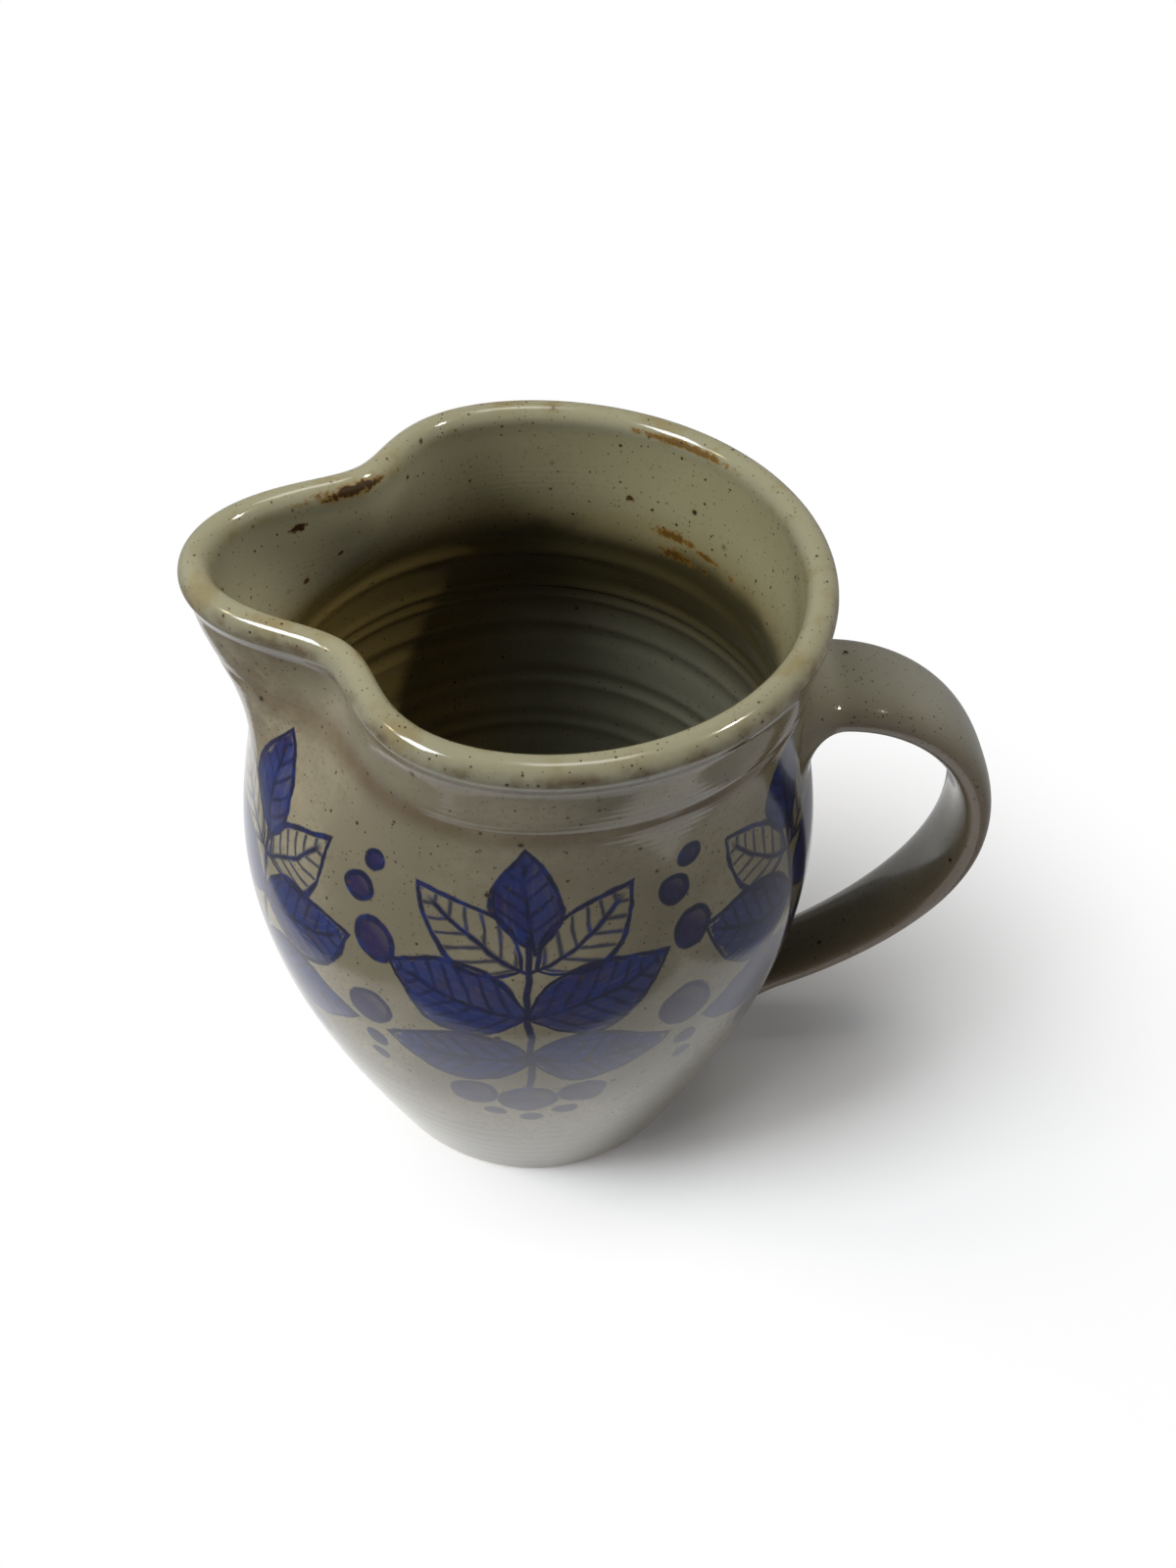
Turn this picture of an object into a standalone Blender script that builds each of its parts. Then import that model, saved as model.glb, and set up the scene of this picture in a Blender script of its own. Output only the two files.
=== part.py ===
"""Stoneware pitcher: a thrown body with a pulled spout, and a strap handle luted on at two joints.

Metres, +Z up. The origin is the centre of the flat base, the spout points along -X and the
handle along +X.
"""

import functools
import math

import bmesh
import bpy
import numpy as np
from mathutils import Vector
from mathutils.geometry import interpolate_bezier

# Thrown body: outside sizes
BODY_HEIGHT = 0.1525
BASE_RADIUS = 0.0416
BASE_EDGE = 0.0022
BASE_LEAN = math.radians(17.0)
BELLY_RADIUS = 0.0601
BELLY_HEIGHT = 0.0835
NECK_RADIUS = 0.0520
NECK_DROP = 0.0165
COLLAR_FLARE = 0.0004

# How far the wall's curve holds its direction on each side of the base, belly and neck
BASE_SWEEP = 0.028
BELLY_SWEEP_DOWN = 0.025
BELLY_SWEEP_UP = 0.020
NECK_SWEEP = 0.018

# Thrown body: thicknesses
WALL = 0.0046
FLOOR = 0.0065
FLOOR_CORNER = 0.014
CORNER_BREAK = 0.004
LIP_BEAD = 0.0032

# Pulled spout: shifts of the rim, and how far round and down they reach
SPOUT_PULL = 0.0129
SPOUT_SPREAD = math.radians(33.5)
PINCH_DEPTH = 0.0119
PINCH_ANGLE = math.radians(36.5)
PINCH_SPREAD = math.radians(23.3)
RIM_SHIFT = 0.0028
SPOUT_LIFT = 0.0022
SPOUT_LIFT_SPREAD = math.radians(85.0)
SPOUT_DEPTH = 0.0365
SPOUT_LIP_DEPTH = 0.0075

# Strap handle
STRAP_WIDTH = 0.0240
STRAP_THICKNESS = 0.0084
STRAP_TAPER = 0.70
STRAP_ROUNDNESS = 2.6
FINGER_GAP = 0.0314
HANDLE_TOP_DROP = 0.0315
HANDLE_FOOT_HEIGHT = 0.0262
HANDLE_BEND_HEIGHT = 0.0818
HANDLE_TOP_RISE = math.radians(2.0)
HANDLE_FOOT_RISE = math.radians(31.0)
HANDLE_TOP_SWEEP = 0.0175
HANDLE_FOOT_SWEEP = 0.0220
HANDLE_BEND_SWEEP = 0.0238

# Luting joints between the strap and the wall
JOINT_LENGTH = 0.0060
UPPER_FLARE = 1.45
LOWER_FLARE = 1.40
FLARE_REACH = 1.4
CLEARANCE = 0.0003

# Facets, and the distance within which points are one
TURN_STEPS = 60
WALL_STEPS = 10
LIP_STEPS = 8
CORNER_STEPS = 4
EDGE_STEPS = 3
STRAP_STEPS = 20
STRAP_SIDES = 24
JOINT_STEPS = 6
WELD = 0.00001
SHARP_EDGE = math.radians(50.0)
SLOPE_STEP = math.radians(0.5)

OBJECT_NAME = "stoneware_pitcher"
GLAZE_GREY = (0.33, 0.31, 0.25, 1.0)
HANDLE_GREY = (0.28, 0.26, 0.20, 1.0)
LUTE_GREY = (0.25, 0.23, 0.18, 1.0)
GLAZE_ROUGHNESS = 0.18


def clear_scene():
    for item in list(bpy.data.objects):
        bpy.data.objects.remove(item, do_unlink=True)


def new_collection(name):
    collection = bpy.data.collections.new(name)
    bpy.context.scene.collection.children.link(collection)
    return collection


def glaze(name, colour):
    material = bpy.data.materials.new(name)
    material.use_nodes = True
    shader = material.node_tree.nodes["Principled BSDF"]
    shader.inputs["Base Color"].default_value = colour
    shader.inputs["Roughness"].default_value = GLAZE_ROUGHNESS
    shader.inputs["Metallic"].default_value = 0.0
    return material


def bezier(start, start_handle, end_handle, end, steps):
    """Points of one curve in the (radius, height) plane, both ends included."""
    knots = [Vector((x, y, 0.0)) for x, y in (start, start_handle, end_handle, end)]
    return [(p.x, p.y) for p in interpolate_bezier(*knots, steps + 1)]


@functools.cache
def wall_outline():
    """The outer wall from the base's edge up to the bead of the lip, as (radius, height)."""
    neck_height = BODY_HEIGHT - NECK_DROP
    base_edge_radius = BASE_RADIUS + BASE_EDGE * math.tan(BASE_LEAN)
    base = (base_edge_radius, BASE_EDGE)
    base_handle = (base[0] + BASE_SWEEP * math.tan(BASE_LEAN), base[1] + BASE_SWEEP)
    belly = (BELLY_RADIUS, BELLY_HEIGHT)
    neck = (NECK_RADIUS, neck_height)
    bead_foot = (NECK_RADIUS + COLLAR_FLARE, BODY_HEIGHT - LIP_BEAD - bead_drop())
    lower = bezier(base, base_handle, (BELLY_RADIUS, BELLY_HEIGHT - BELLY_SWEEP_DOWN), belly, WALL_STEPS)
    upper = bezier(belly, (BELLY_RADIUS, BELLY_HEIGHT + BELLY_SWEEP_UP),
                   (NECK_RADIUS, neck_height - NECK_SWEEP), neck, WALL_STEPS)
    return lower + upper[1:] + [bead_foot]


def bead_drop():
    """How far below the bead's centre the two sides of the wall run into it."""
    return math.sqrt(LIP_BEAD ** 2 - (WALL / 2.0) ** 2)


def wall_radius(height):
    """Outer radius of the wall, before the spout is pulled."""
    radii, heights = zip(*wall_outline())
    return float(np.interp(height, heights, radii))


def body_profile():
    """Inner floor, inner wall, lip, outer wall and base, from axis to axis."""
    outline = wall_outline()
    lip_centre = (NECK_RADIUS + COLLAR_FLARE - WALL / 2.0, BODY_HEIGHT - LIP_BEAD)
    corner_top = FLOOR + FLOOR_CORNER
    corner_radius = wall_radius(corner_top) - WALL
    floor_edge = wall_radius(FLOOR) - WALL - FLOOR_CORNER
    corner = bezier((floor_edge, FLOOR), (wall_radius(FLOOR) - WALL, FLOOR),
                    (corner_radius, FLOOR), (corner_radius, corner_top), CORNER_STEPS)
    inner_start = corner_top + CORNER_BREAK
    inner = [(radius - WALL, height) for radius, height in outline if height > inner_start]
    bead_angle = math.asin(bead_drop() / LIP_BEAD)
    first = math.pi + bead_angle
    turn = (math.pi + 2.0 * bead_angle) / LIP_STEPS
    lip = []
    for step in range(1, LIP_STEPS):
        angle = first - turn * step
        across = LIP_BEAD * math.cos(angle)
        up = LIP_BEAD * math.sin(angle)
        lip.append((lip_centre[0] + across, lip_centre[1] + up))
    base_corner = (BASE_RADIUS, 0.0)
    edge = bezier(outline[0], base_corner, base_corner, (BASE_RADIUS - BASE_EDGE, 0.0), EDGE_STEPS)
    return [(0.0, FLOOR)] + corner + inner + lip + outline[::-1] + edge[1:] + [(0.0, 0.0)]


def cutter_profile():
    """The outside of the body grown by the clearance, filled solid."""
    outline = [(radius + CLEARANCE, height) for radius, height in wall_outline()]
    return [(0.0, BODY_HEIGHT)] + [(outline[-1][0], BODY_HEIGHT)] + outline[::-1] + [(0.0, 0.0)]


def turned(name, profile, collection):
    """A profile turned about Z with a Screw modifier, as a plain mesh object."""
    mesh = bpy.data.meshes.new(name + "_profile")
    points = [(radius, 0.0, height) for radius, height in profile]
    edges = [(index, index + 1) for index in range(len(points) - 1)]
    mesh.from_pydata(points, edges, [])
    source = bpy.data.objects.new(name + "_profile", mesh)
    collection.objects.link(source)
    screw = source.modifiers.new("turn", "SCREW")
    screw.angle = 2.0 * math.pi
    screw.steps = TURN_STEPS
    screw.render_steps = TURN_STEPS
    screw.use_merge_vertices = True
    screw.merge_threshold = WELD
    return as_mesh(source, name, collection)


def as_mesh(source, name, collection):
    """Replace an object by its evaluated, welded mesh."""
    bpy.context.view_layer.update()
    evaluated = source.evaluated_get(bpy.context.evaluated_depsgraph_get())
    mesh = bpy.data.meshes.new_from_object(evaluated)
    mesh.name = name
    welded = bmesh.new()
    welded.from_mesh(mesh)
    bmesh.ops.remove_doubles(welded, verts=welded.verts, dist=WELD)
    bmesh.ops.recalc_face_normals(welded, faces=welded.faces)
    welded.to_mesh(mesh)
    welded.free()
    result = bpy.data.objects.new(name, mesh)
    result.matrix_world = source.matrix_world
    collection.objects.link(result)
    bpy.data.objects.remove(source, do_unlink=True)
    return result


def bell(angle, spread):
    return math.exp(-(angle / spread) ** 2)


def rim_shift(angle):
    """Outward shift of the rim at an angle from the spout: pulled lip, two pinches, oval rim."""
    pinches = bell(angle - PINCH_ANGLE, PINCH_SPREAD) + bell(angle + PINCH_ANGLE, PINCH_SPREAD)
    return SPOUT_PULL * bell(angle, SPOUT_SPREAD) - PINCH_DEPTH * pinches - RIM_SHIFT * math.cos(angle)


def rim_slope(angle):
    return (rim_shift(angle + SLOPE_STEP) - rim_shift(angle - SLOPE_STEP)) / (2.0 * SLOPE_STEP)


def pull_amount(height):
    """1 at the lip, easing to 0 at the foot of the spout."""
    foot = BODY_HEIGHT - SPOUT_DEPTH
    share = (height - foot) / (SPOUT_DEPTH - SPOUT_LIP_DEPTH)
    share = min(max(share, 0.0), 1.0)
    return share * share * (3.0 - 2.0 * share)


def pull_spout(item):
    """Move the wall's points as the potter's fingers do, keeping the wall's thickness."""
    for vertex in item.data.vertices:
        x, y, height = vertex.co
        amount = pull_amount(height)
        radius = math.hypot(x, y)
        if amount == 0.0 or radius == 0.0:
            continue
        angle = math.atan2(y, -x)
        middle = wall_radius(height) - WALL / 2.0
        stretch = math.hypot(1.0, amount * rim_slope(angle) / radius)
        new_radius = middle + amount * rim_shift(angle) + (radius - middle) * stretch
        lift = amount * SPOUT_LIFT * bell(angle, SPOUT_LIFT_SPREAD)
        vertex.co = (x * new_radius / radius, y * new_radius / radius, height + lift)


def strap_section(collection):
    """The strap's rounded flat section, wide along Y."""
    curve = bpy.data.curves.new("strap_section", "CURVE")
    curve.dimensions = "2D"
    spline = curve.splines.new("POLY")
    spline.points.add(STRAP_SIDES - 1)
    power = 2.0 / STRAP_ROUNDNESS
    for index, point in enumerate(spline.points):
        angle = 2.0 * math.pi * index / STRAP_SIDES
        across = math.copysign(abs(math.cos(angle)) ** power, math.cos(angle))
        along = math.copysign(abs(math.sin(angle)) ** power, math.sin(angle))
        point.co = (across * STRAP_THICKNESS / 2.0, along * STRAP_WIDTH / 2.0, 0.0, 1.0)
    spline.use_cyclic_u = True
    section = bpy.data.objects.new("strap_section", curve)
    section.hide_render = True
    section.display_type = "WIRE"
    collection.objects.link(section)
    return section


def swept_strap(name, route, sizes, section, collection):
    """The strap's section swept along a route in the XZ plane, scaled at each point."""
    curve = bpy.data.curves.new(name, "CURVE")
    curve.dimensions = "2D"
    curve.bevel_mode = "OBJECT"
    curve.bevel_object = section
    curve.use_fill_caps = True
    spline = curve.splines.new("POLY")
    spline.points.add(len(route) - 1)
    for point, (radius, height), size in zip(spline.points, route, sizes):
        point.co = (radius, height, 0.0, 1.0)
        point.radius = size
    source = bpy.data.objects.new(name + "_curve", curve)
    source.rotation_euler = (math.pi / 2.0, 0.0, 0.0)
    collection.objects.link(source)
    return as_mesh(source, name, collection)


def rim_side_radius(height):
    """Outer radius of the wall on the handle's side, where the pull has made the rim oval."""
    return wall_radius(height) + pull_amount(height) * rim_shift(math.pi)


def handle_route():
    """The middle of the strap from its upper joint to its lower one."""
    top_height = BODY_HEIGHT - HANDLE_TOP_DROP
    top = (rim_side_radius(top_height) + JOINT_LENGTH, top_height)
    foot = (rim_side_radius(HANDLE_FOOT_HEIGHT) + JOINT_LENGTH, HANDLE_FOOT_HEIGHT)
    bend_thickness = STRAP_THICKNESS * (1.0 + STRAP_TAPER) / 2.0
    bend = (BELLY_RADIUS + FINGER_GAP + bend_thickness / 2.0, HANDLE_BEND_HEIGHT)
    top_handle = (top[0] + HANDLE_TOP_SWEEP * math.cos(HANDLE_TOP_RISE),
                  top[1] + HANDLE_TOP_SWEEP * math.sin(HANDLE_TOP_RISE))
    foot_handle = (foot[0] + HANDLE_FOOT_SWEEP * math.cos(HANDLE_FOOT_RISE),
                   foot[1] + HANDLE_FOOT_SWEEP * math.sin(HANDLE_FOOT_RISE))
    upper = bezier(top, top_handle, (bend[0], bend[1] + HANDLE_BEND_SWEEP), bend, STRAP_STEPS)
    lower = bezier(bend, (bend[0], bend[1] - HANDLE_BEND_SWEEP), foot_handle, foot, STRAP_STEPS)
    return upper + lower[1:]


def strap_sizes(route):
    """The strap gets smaller from its upper end to its lower one."""
    steps = [math.dist(a, b) for a, b in zip(route, route[1:])]
    run = np.concatenate([[0.0], np.cumsum(steps)])
    return [1.0 + (STRAP_TAPER - 1.0) * along / run[-1] for along in run]


def joint(name, end, before_end, strap_size, flare, section, cutter, collection):
    """A wad of soft clay that flares from the strap's end to the wall, and fits the wall."""
    last_step = math.dist(end, before_end)
    inward = ((end[0] - before_end[0]) / last_step, (end[1] - before_end[1]) / last_step)
    wall_depth = JOINT_LENGTH / -inward[0]
    route = []
    sizes = []
    for step in range(2 * JOINT_STEPS + 1):
        share = step / JOINT_STEPS
        reach = CLEARANCE + share * wall_depth
        route.append((end[0] + reach * inward[0], end[1] + reach * inward[1]))
        sizes.append(strap_size * (1.0 + (flare - 1.0) * min(share / FLARE_REACH, 1.0) ** 2))
    wad = swept_strap(name, route, sizes, section, collection)
    cut = wad.modifiers.new("fit_to_wall", "BOOLEAN")
    cut.operation = "DIFFERENCE"
    cut.solver = "EXACT"
    cut.object = cutter
    return wad


def finish(item, material, parent):
    item.data.materials.clear()
    item.data.materials.append(material)
    item.data.shade_smooth()
    item.data.set_sharp_from_angle(angle=SHARP_EDGE)
    item.parent = parent


def build():
    clear_scene()
    parts = new_collection(OBJECT_NAME)
    cutters = new_collection("cutters")
    pitcher = bpy.data.objects.new(OBJECT_NAME, None)
    parts.objects.link(pitcher)

    body = turned("thrown_body", body_profile(), parts)
    pull_spout(body)

    cutter = turned("wall_cutter", cutter_profile(), cutters)
    pull_spout(cutter)
    cutter.hide_render = True
    cutter.display_type = "WIRE"

    section = strap_section(cutters)
    route = handle_route()
    sizes = strap_sizes(route)
    handle = swept_strap("strap_handle", route, sizes, section, parts)
    upper = joint("upper_joint", route[0], route[1], sizes[0], UPPER_FLARE, section, cutter, parts)
    lower = joint("lower_joint", route[-1], route[-2], sizes[-1], LOWER_FLARE, section, cutter, parts)

    finish(body, glaze("body_glaze", GLAZE_GREY), pitcher)
    finish(handle, glaze("handle_glaze", HANDLE_GREY), pitcher)
    finish(upper, glaze("upper_joint_glaze", LUTE_GREY), pitcher)
    finish(lower, glaze("lower_joint_glaze", LUTE_GREY), pitcher)


build()
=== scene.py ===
"""The looks of a stoneware pitcher: a glazed body, a luted strap handle, a floor, light and a camera.

Metres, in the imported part's own frame: the base rests on z = 0, the spout points along -X and the
handle along +X. Angles round the body are counted from the spout. Glaze patterns are in millimetres.
"""

import math

import bmesh
import bpy
import numpy as np
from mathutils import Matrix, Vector


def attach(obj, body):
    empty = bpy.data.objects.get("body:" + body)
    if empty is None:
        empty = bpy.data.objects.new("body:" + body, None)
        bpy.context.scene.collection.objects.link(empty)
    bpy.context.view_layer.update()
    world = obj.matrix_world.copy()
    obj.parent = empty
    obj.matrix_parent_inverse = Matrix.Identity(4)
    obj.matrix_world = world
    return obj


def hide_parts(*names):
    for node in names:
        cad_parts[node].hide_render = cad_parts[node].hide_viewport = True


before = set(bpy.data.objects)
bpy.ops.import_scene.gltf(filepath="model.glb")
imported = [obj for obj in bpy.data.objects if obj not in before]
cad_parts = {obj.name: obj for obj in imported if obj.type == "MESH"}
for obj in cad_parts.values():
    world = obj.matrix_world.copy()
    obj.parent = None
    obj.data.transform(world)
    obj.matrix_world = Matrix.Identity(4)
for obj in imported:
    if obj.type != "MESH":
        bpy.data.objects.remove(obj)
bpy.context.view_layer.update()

# Thrown body, as in the CAD part
BODY_HEIGHT = 0.1525
BASE_RADIUS = 0.0416
BASE_EDGE = 0.0022
BASE_LEAN = math.radians(17.0)
BELLY_RADIUS = 0.0601
BELLY_HEIGHT = 0.0835
NECK_RADIUS = 0.0520
NECK_DROP = 0.0165
COLLAR_FLARE = 0.0004
BASE_SWEEP = 0.028
BELLY_SWEEP_DOWN = 0.025
BELLY_SWEEP_UP = 0.020
NECK_SWEEP = 0.018
WALL = 0.0046
FLOOR = 0.0065
FLOOR_CORNER = 0.014

# Rolled lip: half its width and height, and how far its middle lies outside the wall's middle
LIP_HALF_WIDTH = 0.0030
LIP_HALF_HEIGHT = 0.0033
LIP_OVERHANG = 0.0005

# Pulled spout, as in the CAD part
SPOUT_PULL = 0.0129
SPOUT_SPREAD = math.radians(33.5)
PINCH_DEPTH = 0.0119
PINCH_ANGLE = math.radians(36.5)
PINCH_SPREAD = math.radians(23.3)
RIM_SHIFT = 0.0028
SPOUT_LIFT = 0.0022
SPOUT_LIFT_SPREAD = math.radians(85.0)
SPOUT_DEPTH = 0.0365
SPOUT_LIP_DEPTH = 0.0075
SLOPE_STEP = math.radians(0.5)

# Marks of the making: finger rings inside, a cut line at the neck, turning lines outside, a wobble
RING_PITCH = 0.0084
RING_DEPTH = 0.0008
RING_TOP = 0.130
RING_FADE = 0.012
RING_UNEVENNESS = 0.2
RING_SHARPNESS = 1.4
CREASE_DEPTH = 0.00015
CREASE_WIDTH = 0.0007
CREASE_RIDGE = 0.00010
CREASE_RIDGE_DROP = 0.0017
TURN_PITCH = 0.0053
TURN_DEPTH = 0.00001
TURN_START = 3.0 * BASE_EDGE
TURN_FADE = (1.1 * BELLY_HEIGHT, 0.3 * BELLY_HEIGHT)
WOBBLE = 0.00018

# Waves in those marks: strength, waves round the body, radians per metre of height, and phase
RING_WANDER = ((0.35, 0.0, 180.0, 0.9), (0.2, 0.0, 430.0, 0.0))
RING_SWELL = ((1.0, 2.0, 1.7 / RING_PITCH, 0.8),)
TURN_WAVES = ((1.0, 1.0, 2.0 * math.pi / TURN_PITCH, 0.0), (0.7, 2.0, 3.7 * math.pi / TURN_PITCH, 1.0))
WOBBLE_WAVES = ((1.0, 2.0, 0.0, 0.7), (0.5, 3.0, 40.0, 0.0))

# Glaze zones along the profile: from the lip's crest, down the outside, and the bare foot by height
INSIDE_ZONE = (-0.003, 0.002)
LIP_ZONE = (0.0042, 0.0068)
BARE_ZONE = (0.0016, 0.0006)

# Bands of pooled and of worn glaze: how far their middle lies from the lip's crest, and their spread
LIP_POOL = (0.0076, 0.0009)
NECK_POOL = (0.0190, 0.0026)
WORN_BAND = (0.0042, 0.0014)
POOL_STRENGTH = 0.8

# Strap handle and its joints, as in the CAD part
STRAP_WIDTH = 0.0240
STRAP_THICKNESS = 0.0084
STRAP_TAPER = 0.70
STRAP_ROUNDNESS = 2.6
FINGER_GAP = 0.0314
HANDLE_TOP_DROP = 0.0315
HANDLE_FOOT_HEIGHT = 0.0262
HANDLE_BEND_HEIGHT = 0.0818
HANDLE_TOP_RISE = math.radians(2.0)
HANDLE_FOOT_RISE = math.radians(31.0)
HANDLE_TOP_SWEEP = 0.0175
HANDLE_FOOT_SWEEP = 0.0220
HANDLE_BEND_SWEEP = 0.0238
JOINT_LENGTH = 0.0060
EDGE_FALL = 3

# Fillets of the joints, and how they run out on the wall
UPPER_FILLET = 0.0046
UPPER_UNDER_FILLET = 0.0110
LOWER_FILLET = 0.0034
FULLY_UNDER = 0.9
FILLET_BEYOND = 1.1
FILLET_PULL = 1.5
JOINT_SINK = 0.00004
JOINT_BURY = 0.0016
LANDING_PASSES = 12

# Mesh density, and the steps at the strap's ends that its joints take the place of
CURVE_STEPS = 120
PROFILE_STEP = 0.0002
SPONGE_RADIUS = 0.0014
SPONGE_REACH = 3.0
BEND_PER_ROW = math.radians(8.0)
LEAST_BEND = 1e-6
FINE_ROW = 0.00045
INSIDE_ROW = 0.0009
OUTSIDE_ROW = 0.0012
COLUMNS = 252
STRAP_STEPS = 80
STRAP_SIDES = 64
JOINT_RINGS = 24
TOP_TRIM = 3
FOOT_TRIM = 5


def bezier(start, start_handle, end_handle, end, steps):
    share = np.linspace(0.0, 1.0, steps + 1)[:, None]
    rest = 1.0 - share
    near = rest ** 3 * np.array(start) + 3.0 * rest ** 2 * share * np.array(start_handle)
    far = 3.0 * rest * share ** 2 * np.array(end_handle) + share ** 3 * np.array(end)
    return near + far


def hermite(start, start_speed, end, end_speed, share):
    """Points part of the way along smooth paths that have a given speed at each end."""
    rest = 1.0 - share
    from_start = (1.0 + 2.0 * share) * rest ** 2 * start + share * rest ** 2 * start_speed
    to_end = share ** 2 * (3.0 - 2.0 * share) * end - share ** 2 * rest * end_speed
    return from_start + to_end


def smoothstep(low, high, value):
    share = np.clip((value - low) / (high - low), 0.0, 1.0)
    return share * share * (3.0 - 2.0 * share)


def bell(value, spread):
    return np.exp(-(value / spread) ** 2)


def band(value, middle, spread):
    return bell(value - middle, spread)


def waves(table, height, angle):
    """A sum of sine waves that run round the body and up it."""
    return sum(strength * np.sin(turns * angle + rate * height + phase)
               for strength, turns, rate, phase in table)


def unit(vectors):
    return vectors / np.linalg.norm(vectors, axis=1, keepdims=True)


def arc_length(points):
    steps = np.linalg.norm(np.diff(points, axis=0), axis=1)
    return np.concatenate([[0.0], np.cumsum(steps)])


def wall_outline():
    """The outer wall from the base's edge up to the top, as rows of (radius, height)."""
    neck_height = BODY_HEIGHT - NECK_DROP
    lean = math.tan(BASE_LEAN)
    base = (BASE_RADIUS + BASE_EDGE * lean, BASE_EDGE)
    base_handle = (base[0] + BASE_SWEEP * lean, base[1] + BASE_SWEEP)
    belly = (BELLY_RADIUS, BELLY_HEIGHT)
    belly_below = (BELLY_RADIUS, BELLY_HEIGHT - BELLY_SWEEP_DOWN)
    belly_above = (BELLY_RADIUS, BELLY_HEIGHT + BELLY_SWEEP_UP)
    neck = (NECK_RADIUS, neck_height)
    neck_below = (NECK_RADIUS, neck_height - NECK_SWEEP)
    lower = bezier(base, base_handle, belly_below, belly, CURVE_STEPS)
    upper = bezier(belly, belly_above, neck_below, neck, CURVE_STEPS)
    top = (NECK_RADIUS + COLLAR_FLARE, BODY_HEIGHT)
    return np.vstack([lower, upper[1:], [top]])


OUTLINE = wall_outline()


def wall_radius(height):
    return np.interp(height, OUTLINE[:, 1], OUTLINE[:, 0])


def rim_shift(angle):
    """Outward shift of the rim at an angle from the spout: pulled lip, two pinches, oval rim."""
    pinches = band(angle, PINCH_ANGLE, PINCH_SPREAD) + band(angle, -PINCH_ANGLE, PINCH_SPREAD)
    return SPOUT_PULL * bell(angle, SPOUT_SPREAD) - PINCH_DEPTH * pinches - RIM_SHIFT * np.cos(angle)


def pull_amount(height):
    return smoothstep(BODY_HEIGHT - SPOUT_DEPTH, BODY_HEIGHT - SPOUT_LIP_DEPTH, height)


def pull_spout(radius, height, angle):
    """Moves the wall as the potter's fingers do, keeping its thickness."""
    amount = pull_amount(height)
    slope = (rim_shift(angle + SLOPE_STEP) - rim_shift(angle - SLOPE_STEP)) / (2.0 * SLOPE_STEP)
    middle = wall_radius(height) - WALL / 2.0
    stretch = np.hypot(1.0, amount * slope / np.maximum(radius, WALL))
    pulled = middle + amount * rim_shift(angle) + (radius - middle) * stretch
    lift = amount * SPOUT_LIFT * bell(angle, SPOUT_LIFT_SPREAD)
    return np.where(amount > 0.0, pulled, radius), height + lift


def lip_curve():
    """The rolled lip, from the inner wall over its crest to the outer wall."""
    height = BODY_HEIGHT - LIP_HALF_HEIGHT
    middle = wall_radius(height) - WALL / 2.0 + LIP_OVERHANG
    inner_turn = math.acos(-(WALL / 2.0 + LIP_OVERHANG) / LIP_HALF_WIDTH)
    outer_turn = math.acos((WALL / 2.0 - LIP_OVERHANG) / LIP_HALF_WIDTH)
    turn = np.linspace(2.0 * math.pi - inner_turn, -outer_turn, CURVE_STEPS)
    return np.column_stack([middle + LIP_HALF_WIDTH * np.cos(turn), height + LIP_HALF_HEIGHT * np.sin(turn)])


def raw_profile():
    """Inner floor, inner wall, lip, outer wall and base, from axis to axis."""
    corner_top = FLOOR + FLOOR_CORNER
    corner_radius = wall_radius(corner_top) - WALL
    inner_foot = wall_radius(FLOOR) - WALL
    corner = bezier((inner_foot - FLOOR_CORNER, FLOOR), (inner_foot, FLOOR),
                    (corner_radius, FLOOR), (corner_radius, corner_top), CURVE_STEPS)
    lip = lip_curve()
    between = (OUTLINE[:, 1] > corner_top) & (OUTLINE[:, 1] < lip[0, 1])
    inner = OUTLINE[between] - (WALL, 0.0)
    outer = OUTLINE[OUTLINE[:, 1] < lip[-1, 1]][::-1]
    base_corner = (BASE_RADIUS, 0.0)
    edge = bezier(outer[-1], base_corner, base_corner, (BASE_RADIUS - BASE_EDGE, 0.0), CURVE_STEPS)
    return np.vstack([[(0.0, FLOOR)], corner, inner, lip, outer, edge[1:], [(0.0, 0.0)]])


def sponged(points):
    """Even points along a polyline, with its corners rounded as by a wet sponge."""
    run = arc_length(points)
    even = np.arange(0.0, run[-1], PROFILE_STEP)
    reach = int(SPONGE_REACH * SPONGE_RADIUS / PROFILE_STEP)
    weights = bell(np.arange(-reach, reach + 1) * PROFILE_STEP, SPONGE_RADIUS)
    columns = []
    for values in points.T:
        padded = np.pad(np.interp(even, run, values), reach, mode="reflect", reflect_type="odd")
        columns.append(np.convolve(padded, weights / weights.sum(), "valid"))
    return np.column_stack(columns)


def cut_line(height):
    """How far the outer wall stands out at the line cut under the collar and the ridge below it."""
    below_neck = BODY_HEIGHT - NECK_DROP - height
    ridge = CREASE_RIDGE * band(below_neck, CREASE_RIDGE_DROP, 2.0 * CREASE_WIDTH)
    return ridge - CREASE_DEPTH * bell(below_neck, CREASE_WIDTH)


def row_places(run, direction, outside):
    """Lengths along the profile at which its rows lie, close together where it bends."""
    heading = np.unwrap(np.arctan2(direction[:, 1], direction[:, 0]))
    bend = np.gradient(heading, run)
    widest = np.where(outside, OUTSIDE_ROW, INSIDE_ROW)
    spacing = np.clip(BEND_PER_ROW / np.maximum(np.abs(bend), LEAST_BEND), FINE_ROW, widest)
    count = np.concatenate([[0.0], np.cumsum(np.diff(run) / spacing[1:])])
    return np.interp(np.arange(math.floor(count[-1]) + 1), count, run)


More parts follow.
